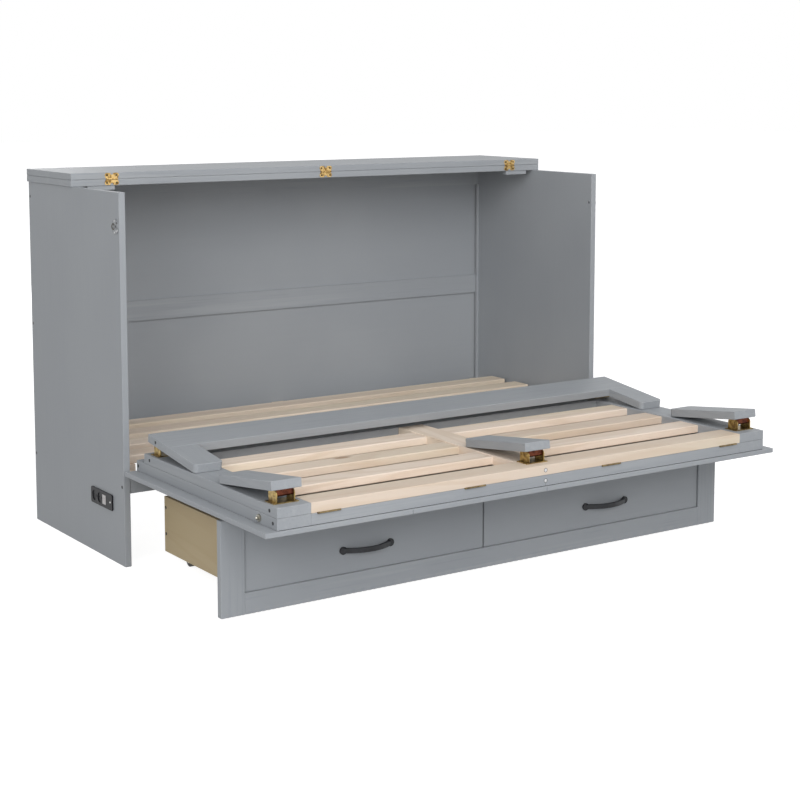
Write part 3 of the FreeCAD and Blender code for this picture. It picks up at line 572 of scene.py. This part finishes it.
# %% Assembly screws
BOARD_HEAD = (4.4 * MM, 0.7 * MM)
PANEL_SCREW_FRONT = 20 * MM
PANEL_SCREW_REAR = 10 * MM
SECTION_SCREW_FRONT = 35 * MM
SECTION_SCREW_REAR = 31 * MM
DRAWER_SCREW_IN = 8 * MM
DRAWER_SCREW_HEIGHTS = (93 * MM, 163 * MM)
LEG_SCREW_Y = -52 * MM
LEG_SCREW_Z = 353 * MM
CLEAT_SCREWS_IN = (20 * MM, 60 * MM)
frame_low, frame_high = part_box("panel_side_rails")
section_low, section_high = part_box("section_side_rails")
drawer_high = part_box("drawer_box_sides")[1]
leg_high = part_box("foot_leg_rail")[1]
cleat_low, cleat_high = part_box("top_cleats")
frame_z = (frame_low.z + frame_high.z) / 2
section_z = (section_low.z + section_high.z) / 2
cleat_y = (cleat_low.y + cleat_high.y) / 2
frame_places = []
section_edge_places = []
leg_places = []
drawer_places = []
cleat_places = []
for side in SIDES:
    out = (side, 0, 0)
    for y in (frame_low.y + PANEL_SCREW_FRONT, frame_high.y - PANEL_SCREW_REAR):
        frame_places.append(((frame_high.x * side, y, frame_z), out))
    for y in (section_low.y + SECTION_SCREW_FRONT, section_high.y - SECTION_SCREW_REAR):
        section_edge_places.append(((section_high.x * side, y, section_z), out))
    for z in DRAWER_SCREW_HEIGHTS:
        drawer_places.append(((drawer_high.x * side, drawer_high.y - DRAWER_SCREW_IN, z), out))
    leg_places.append(((leg_high.x * side, LEG_SCREW_Y, LEG_SCREW_Z), out))
    for step in CLEAT_SCREWS_IN:
        cleat_places.append(((side * (cleat_high.x - step), cleat_y, cleat_low.z), DOWN))
for name, places, body in (("panel_frame_screws", frame_places, "front_panel"),
                           ("section_frame_screws", section_edge_places, "foot_section"),
                           ("drawer_side_screws", drawer_places, "drawer"),
                           ("foot_leg_screws", leg_places, "foot_leg"),
                           ("cleat_screws", cleat_places, "cabinet")):
    stamped(name, screw_head(*BOARD_HEAD), places, body, dark_screw_and_shade)

# %% [markdown]
# ## The two screws in the middle of the front edge
#
# These are bright, and each sits in a dark ring of painted shade, for the shade in its
# countersink. The ring could be a torus that is sized by hand, but a small circle spun round
# the head's axis takes its size from the head.

# %% Centre screws and their rings of painted shade
def ring(middle_radius, wire_radius):
    """A round wire ring on the XY plane, made by spinning a small circle."""
    wire = bmesh.new()
    bmesh.ops.create_circle(wire, segments=10, radius=wire_radius)
    bmesh.ops.rotate(wire, cent=(0, 0, 0), matrix=Matrix.Rotation(math.pi / 2, 3, "X"),
                     verts=wire.verts[:])
    bmesh.ops.translate(wire, vec=(middle_radius, 0, 0), verts=wire.verts[:])
    bmesh.ops.spin(wire, geom=wire.verts[:] + wire.edges[:], cent=(0, 0, 0), axis=(0, 0, 1),
                   angle=2 * math.pi, steps=28, use_merge=True)
    bmesh.ops.recalc_face_normals(wire, faces=wire.faces[:])
    return wire


CENTRE_X = 3 * MM
SHADE_RING_GAP = 0.6 * MM
SHADE_RING_WIRE = 0.5 * MM
CENTRES = (("panel_centre", (CENTRE_X, frame_low.y, frame_z), "front_panel"),
           ("section_centre", (CENTRE_X, section_low.y, section_z), "foot_section"))
for name, spot, body in CENTRES:
    stamped(name + "_screw", screw_head(*BOARD_HEAD), [(spot, FRONT)],
            body, zinc)
# Each bright head sits in a dark ring of painted shade, for the shade in its countersink.
for name, spot, body in CENTRES:
    stamped(name + "_rim", ring(BOARD_HEAD[0] + SHADE_RING_GAP, SHADE_RING_WIRE), [(spot, FRONT)],
            body, dark_screw_and_shade)

# %% [markdown]
# ## Rivets and screws on the leg brackets
#
# Each leg turns on a pin that is riveted through the bracket's two cheeks, so a domed head
# shows on the outside of each. Four screws hold the bracket's plate down, and two more hold
# the strap to the leg. Half a sphere, flattened, makes a rivet head that needs no lathe
# profile. The strap lies at the folded leg's angle. Its screws could be measured there, but
# they follow the leg exactly when their standing place is turned round the pin.

# %% Bracket hardware
def rivet_head(radius, rise):
    """A plain dome on the XY plane."""
    dome = bmesh.new()
    bmesh.ops.create_uvsphere(dome, u_segments=16, v_segments=8, radius=radius)
    bmesh.ops.bisect_plane(dome, geom=dome.verts[:] + dome.edges[:] + dome.faces[:],
                           plane_co=(0, 0, 0), plane_no=(0, 0, 1), clear_inner=True)
    bmesh.ops.scale(dome, vec=(1, 1, rise / radius), verts=dome.verts[:])
    return dome


PIN_Z = 333.3 * MM
SHORT_PIN_Y = -630.5 * MM
FOOT_PIN_Y = -24.5 * MM
LEG_TILT = math.radians(7.307)
LEG_HALF_WIDTH = 40 * MM
CHEEK_OUT = 25 * MM
FLANGE_OUT = 29 * MM
PLATE_TOP = PIN_Z - 17.5 * MM
STRAP_FACE = -8.8 * MM
FLANGE_SCREWS = (-6 * MM, 20 * MM)
STRAP_SCREWS = (14 * MM, 34 * MM)
RIVET = (4.4 * MM, 1.3 * MM)
FLANGE_HEAD = (2.7 * MM, 0.4 * MM)
STRAP_HEAD = (3.0 * MM, 0.5 * MM)
leg_x = leg_high.x - LEG_HALF_WIDTH
BRACKETS = (("short_leg_left", -leg_x, SHORT_PIN_Y, 1), ("short_leg_centre", 0, SHORT_PIN_Y, 1),
            ("short_leg_right", leg_x, SHORT_PIN_Y, 1), ("foot_leg", -leg_x, FOOT_PIN_Y, -1),
            ("foot_leg", leg_x, FOOT_PIN_Y, -1))
rivet_places = []
flange_places = []
strap_places = {}
fold = -math.pi / 2 - LEG_TILT
for body, x, pin_y, way in BRACKETS:
    for side in SIDES:
        rivet_places.append(((x + side * CHEEK_OUT, pin_y, PIN_Z), (side, 0, 0)))
        for along in FLANGE_SCREWS:
            flange_places.append(((x + side * FLANGE_OUT, pin_y + way * along, PLATE_TOP), UP))
    for along in STRAP_SCREWS:
        y = STRAP_FACE * math.cos(fold) - along * math.sin(fold)
        z = STRAP_FACE * math.sin(fold) + along * math.cos(fold)
        facing = (0, way * math.cos(fold), math.sin(fold))
        strap_places.setdefault(body, []).append(((x, pin_y + way * y, PIN_Z + z), facing))
stamped("bracket_rivets", rivet_head(*RIVET), rivet_places,
        "foot_section", yellow_zinc)
stamped("bracket_screws", screw_head(*FLANGE_HEAD), flange_places,
        "foot_section", shaded_strap_zinc)
for body, places in strap_places.items():
    stamped(body + "_strap_screws", screw_head(*STRAP_HEAD), places,
            body, yellow_zinc)

# %% [markdown]
# ## Fittings of the latch plates
#
# A latch plate has a ring pressed round its dished spot, a small eyelet, a key slot and two
# screws. The key slot is a dark dome of painted shade, for the shade inside its hole. The plate
# itself is in the frame. These could be cut into it, but the frame's meshes are left as they
# are, so each stands on the plate's face, which lies behind the plate's own raised ring.

# %% Latch plate fittings
PLATE_RING_STAND = 1.5 * MM
DISH_IN = 10.5 * MM
LATCH_RING = (7.6 * MM, 1.1 * MM)
EYELET = (4.0 * MM, 0.8 * MM)
EYELET_FORWARD = 21 * MM
EYELET_DOWN = 8.5 * MM
KEY_SLOT = (3.2 * MM, 0.3 * MM)
KEY_SLOT_FORWARD = 20 * MM
KEY_SLOT_UP = 10 * MM
LATCH_HEAD = (2.6 * MM, 0.5 * MM)
LATCH_SCREW_FORWARD = 7 * MM
LATCH_SCREW_RISE = 15 * MM
plate_low, plate_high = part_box("latch_escutcheons")
plate_face = plate_high.x - PLATE_RING_STAND
latch_z = (plate_low.z + plate_high.z) / 2
dish_y = plate_high.y - DISH_IN
ring_places = []
eyelet_places = []
slot_places = []
latch_screw_places = []
for side in SIDES:
    out = (side, 0, 0)
    face_x = side * plate_face
    ring_places.append(((face_x, dish_y, latch_z), out))
    eyelet_places.append(((face_x, dish_y - EYELET_FORWARD, latch_z - EYELET_DOWN), out))
    slot_places.append(((face_x, dish_y - KEY_SLOT_FORWARD, latch_z + KEY_SLOT_UP), out))
    for rise in (-LATCH_SCREW_RISE, LATCH_SCREW_RISE):
        latch_screw_places.append(((face_x, dish_y - LATCH_SCREW_FORWARD, latch_z + rise), out))
stamped("latch_rings", ring(*LATCH_RING), ring_places, "cabinet", dark_bronze)
stamped("latch_eyelets", ring(*EYELET), eyelet_places, "cabinet", zinc)
# The key slot: a dark dome of painted shade, for the shade inside the hole.
stamped("latch_slot_shade", rivet_head(*KEY_SLOT), slot_places, "cabinet", dark_screw_and_shade)
stamped("latch_plate_screws", screw_head(*LATCH_HEAD), latch_screw_places,
        "cabinet", zinc)

# %% [markdown]
# ## The socket plate's lamp
#
# The socket plate has a small white lamp at its front end. A flat disc would do from the front.
# The rivet's dome is used again, because a lamp's lens bulges and shows from the side.

# %% Socket lamp
LAMP_IN = 12 * MM
LAMP_LENS = (2.6 * MM, 1.2 * MM)
socket_low, socket_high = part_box("outlet_plate")
lamp_spot = (socket_low.x, socket_low.y + LAMP_IN, (socket_low.z + socket_high.z) / 2)
stamped("socket_lamp", rivet_head(*LAMP_LENS), [(lamp_spot, (-1, 0, 0))],
        "cabinet", white_plastic)

# %% [markdown]
# ## Screws on the panel hinges
#
# The let-down panel turns on three hinges on the apron. Their leaves close on each other, so
# they are screwed down flush, three screws to a leaf, with the same sunk head as the foot
# section's hinges. The fixed leaf lies on the apron, and the moving one on the frame's rear
# face, so both rows stand one leaf's thickness off the wood.

# %% Panel hinge screws
PANEL_LEAF = 1.2 * MM
PANEL_LEAF_HALF = 40 * MM
PANEL_SCREW_STEP = 28 * MM
FIXED_SCREW_IN = 14 * MM
MOVING_SCREW_DOWN = 12 * MM
fixed_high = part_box("panel_hinge_fixed_leaves")[1]
moving_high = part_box("panel_hinge_moving_leaves")[1]
apron_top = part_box("apron_rail")[1].z
panel_hinge_outer = fixed_high.x - PANEL_LEAF_HALF
fixed_y = fixed_high.y - FIXED_SCREW_IN
moving_z = moving_high.z - MOVING_SCREW_DOWN
fixed_places = []
moving_places = []
for x in (-panel_hinge_outer, 0.0, panel_hinge_outer):
    for step in (-PANEL_SCREW_STEP, 0.0, PANEL_SCREW_STEP):
        fixed_places.append(((x + step, fixed_y, apron_top + PANEL_LEAF), UP))
        moving_places.append(((x + step, frame_high.y + PANEL_LEAF, moving_z), BACK))
stamped("panel_hinge_screws_fixed", screw_head(*SUNK_HEAD), fixed_places,
        "cabinet", dark_bronze)
stamped("panel_hinge_screws_moving", screw_head(*SUNK_HEAD), moving_places,
        "front_panel", dark_bronze)

# %% [markdown]
# ## Rivets on the casters
#
# Each caster's axle is riveted over outside its fork. The casters stand a fixed way in from the
# corners of the box round all four forks, so the rivets are placed from that box rather than
# from a list of eight points.

# %% Caster rivets
FORK_PLATE_HALF_WIDTH = 19 * MM
FORK_PLATE_HALF_LENGTH = 26 * MM
AXLE_OUT = 11.3 * MM
AXLE_Z = 18 * MM
AXLE_RIVET = (4.6 * MM, 1.5 * MM)
forks_low, forks_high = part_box("caster_forks")
caster_x = forks_high.x - FORK_PLATE_HALF_WIDTH
axle_places = []
for y in (forks_low.y + FORK_PLATE_HALF_LENGTH, forks_high.y - FORK_PLATE_HALF_LENGTH):
    for x in (-caster_x, caster_x):
        for side in SIDES:
            axle_places.append(((x + side * AXLE_OUT, y, AXLE_Z), (side, 0, 0)))
stamped("caster_rivets", rivet_head(*AXLE_RIVET), axle_places, "drawer", zinc)

# %% [markdown]
# ## Joints in the face board
#
# The wide face board is made up of narrower ones. Two of the joints show as fine dark lines on
# its front edge, and the middle one runs on up the rail to the centre screws. The seam under
# the front rail shows as a long line. These lines are the shade in open joints. Grooves would
# have to be cut into the frame's meshes, so each line is a hair-thin dark strip of painted
# shade instead, a twentieth of a millimetre proud.

# %% Joint lines
SHADE_STRIP_THICKNESS = 0.1 * MM
FACE_JOINT = (0.9 * MM, 9.5 * MM)
FACE_JOINT_X = -404 * MM
RAIL_JOINT = (0.7 * MM, 7 * MM)
RAIL_JOINT_UP = 5 * MM
SEAM_SHORTER = 6 * MM
SEAM_HEIGHT = 1.0 * MM
SEAM_UP = 0.6 * MM


def strip(width, height):
    """A thin box on the XY plane, facing +Z."""
    box = bmesh.new()
    bmesh.ops.create_cube(box, size=1.0)
    bmesh.ops.scale(box, vec=(width, height, SHADE_STRIP_THICKNESS), verts=box.verts[:])
    return box


face_low, face_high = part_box("face_board")
edge_z = (face_low.z + face_high.z) / 2
seam_width = frame_high.x * 2 - SEAM_SHORTER
edge_joints = [((x, face_low.y, edge_z), FRONT) for x in (CENTRE_X, FACE_JOINT_X)]
rail_joint = [((CENTRE_X, frame_low.y, frame_low.z + RAIL_JOINT_UP), FRONT)]
rail_seam = [((0, frame_low.y, frame_low.z + SEAM_UP), FRONT)]
# Each strip is a dark line of painted shade, for the shade in an open joint.
for name, line, places in (("face_board_joints", strip(*FACE_JOINT), edge_joints),
                           ("front_rail_joint", strip(*RAIL_JOINT), rail_joint),
                           ("front_rail_seam", strip(seam_width, SEAM_HEIGHT), rail_seam)):
    stamped(name, line, places, "front_panel", dark_screw_and_shade)

# %% [markdown]
# ## The camera
#
# The photograph is a product picture on white. The camera stands to the left at about chest
# height and looks slightly down with a long lens. It could look level and shift its picture
# down a long way, which keeps uprights exactly parallel. A small tilt and a small shift match
# the photograph, where they are nearly so.

# %% Camera
CAMERA_PLACE = Vector((-2.6344, -3.9214, 1.2652))
CAMERA_TURN = 34.08
CAMERA_TILT = 6.64
CAMERA_SHIFT = -0.15
CAMERA_REACH = 100.0
FOCAL_PIXELS = 1697.3
FRAME_PIXELS = 800
SENSOR = 36.0

camera_data = bpy.data.cameras.new("camera")
camera_data.sensor_width = SENSOR
camera_data.lens = FOCAL_PIXELS / FRAME_PIXELS * SENSOR
camera_data.shift_y = CAMERA_SHIFT
camera_data.clip_end = CAMERA_REACH
camera = bpy.data.objects.new("camera", camera_data)
camera.location = CAMERA_PLACE
camera.rotation_euler = (math.radians(90 - CAMERA_TILT), 0, math.radians(-CAMERA_TURN))
bpy.context.scene.collection.objects.link(camera)
bpy.context.scene.camera = camera
print("lens", round(camera_data.lens, 1), "mm")

# %% [markdown]
# ## The floor
#
# The floor looks white, but more light would wash out the bed. So it glows instead, and only to
# the camera and in reflections, which adds nothing to the light on the bed. Near the bed it
# glows a little less than white, so it keeps the bed's shadow. Far away, where the lamps are
# weak, it glows at 1, which is white. To every other ray it is a plain mid grey, so that it
# doesn't throw too much of the lamps' light up under the panel and onto the drawer.

# %% Floor
FLOOR_SIZE = 60.0
FLOOR_DROP = 0.5 * MM
FLOOR_GREY = (0.45, 0.45, 0.45, 1.0)
WHITE = (1.0, 1.0, 1.0)
GLOW_NEAR = (0.88, 0.88, 0.88)
GLOW_START = 2.2
GLOW_FULL = 7.0


def seen_share(graph):
    """1 for a ray from the camera or off a glossy surface, and 0 for every other ray."""
    camera_ray = graph.node("ShaderNodeLightPath", output="Is Camera Ray")
    glossy_ray = graph.node("ShaderNodeLightPath", output="Is Glossy Ray")
    return camera_ray.math("MAXIMUM", camera_ray, glossy_ray)


def floor_material():
    finish = Finish("studio_floor")
    place = finish.node("ShaderNodeTexCoord", output="Object")
    distance = finish.node("ShaderNodeVectorMath", {"operation": "LENGTH"}, {0: place},
                           output="Value")
    glow_colour = finish.mix(finish.ramp(distance, GLOW_START, GLOW_FULL), GLOW_NEAR, WHITE)
    diffuse = finish.node("ShaderNodeBsdfDiffuse", None, {"Color": FLOOR_GREY})
    glow = finish.node("ShaderNodeEmission", None, {"Color": glow_colour, "Strength": 1.0})
    both = finish.node("ShaderNodeAddShader", None, {0: diffuse, 1: glow})
    shown = finish.node("ShaderNodeMixShader", None,
                        {0: seen_share(finish), 1: diffuse, 2: both})
    finish.node("ShaderNodeOutputMaterial", None, {"Surface": shown})
    return finish.material


floor_mesh = bpy.data.meshes.new("floor")
floor_build = bmesh.new()
bmesh.ops.create_grid(floor_build, x_segments=1, y_segments=1, size=FLOOR_SIZE / 2)
floor_build.to_mesh(floor_mesh)
floor_build.free()
floor_mesh.materials.append(floor_material())
floor = bpy.data.objects.new("floor", floor_mesh)
floor.location.z = -FLOOR_DROP
bpy.context.scene.collection.objects.link(floor)
print("floor", FLOOR_SIZE, "m wide")

# %% [markdown]
# ## Light
#
# The picture is lit very evenly, as product pictures are: the left side and the tops are only
# a little brighter than the fronts, and the inside of the cabinet is nearly as bright as the
# drawer. A bright world could light it all round, but it would leave no shadow under the bed.
# Wide lamps keep one. One stands on the left, three in front light the inside, and one hangs
# over the bed. Two more, behind and on the right, are for views from there. The world is white
# to the camera and in reflections, and dim to everything else.

# %% Lamps and world
LAMP_AIM = Vector((0.0, 0.0, 0.4))
LAMPS = (("left_front", (-4.6, -3.4, 2.3), 3.0, 150.0),
         ("front_level", (-1.2, -5.6, 1.3), 4.0, 86.0),
         ("front_high", (-0.8, -5.0, 3.4), 3.0, 84.0),
         ("front_top", (-1.4, -3.8, 4.4), 3.0, 58.0),
         ("overhead", (0.3, -1.6, 4.5), 4.0, 38.0),
         ("behind", (0.0, 5.8, 1.7), 3.0, 80.0),
         ("right", (5.6, -0.6, 2.0), 4.0, 55.0))
SURROUND = (0.96, 0.98, 1.0, 1.0)
SURROUND_LEVEL = 0.26

for name, place, size, power in LAMPS:
    data = bpy.data.lights.new(name, "AREA")
    data.shape = "SQUARE"
    data.size = size
    data.energy = power
    lamp = bpy.data.objects.new(name, data)
    lamp.location = place
    lamp.rotation_euler = (LAMP_AIM - Vector(place)).to_track_quat("-Z", "Y").to_euler()
    bpy.context.scene.collection.objects.link(lamp)

world = bpy.data.worlds.new("studio")
bpy.context.scene.world = world
world.use_nodes = True
sky = Graph(world.node_tree)
surround = sky.node("ShaderNodeBackground", None,
                    {"Color": SURROUND, "Strength": SURROUND_LEVEL})
white = sky.node("ShaderNodeBackground", None, {"Color": (*WHITE, 1.0), "Strength": 1.0})
shown = sky.node("ShaderNodeMixShader", None, {0: seen_share(sky), 1: surround, 2: white})
sky.node("ShaderNodeOutputWorld", None, {"Surface": shown})

bpy.context.scene.view_settings.view_transform = "Standard"
print("lamps:", len(LAMPS))

# %% Finish
print("scene built")
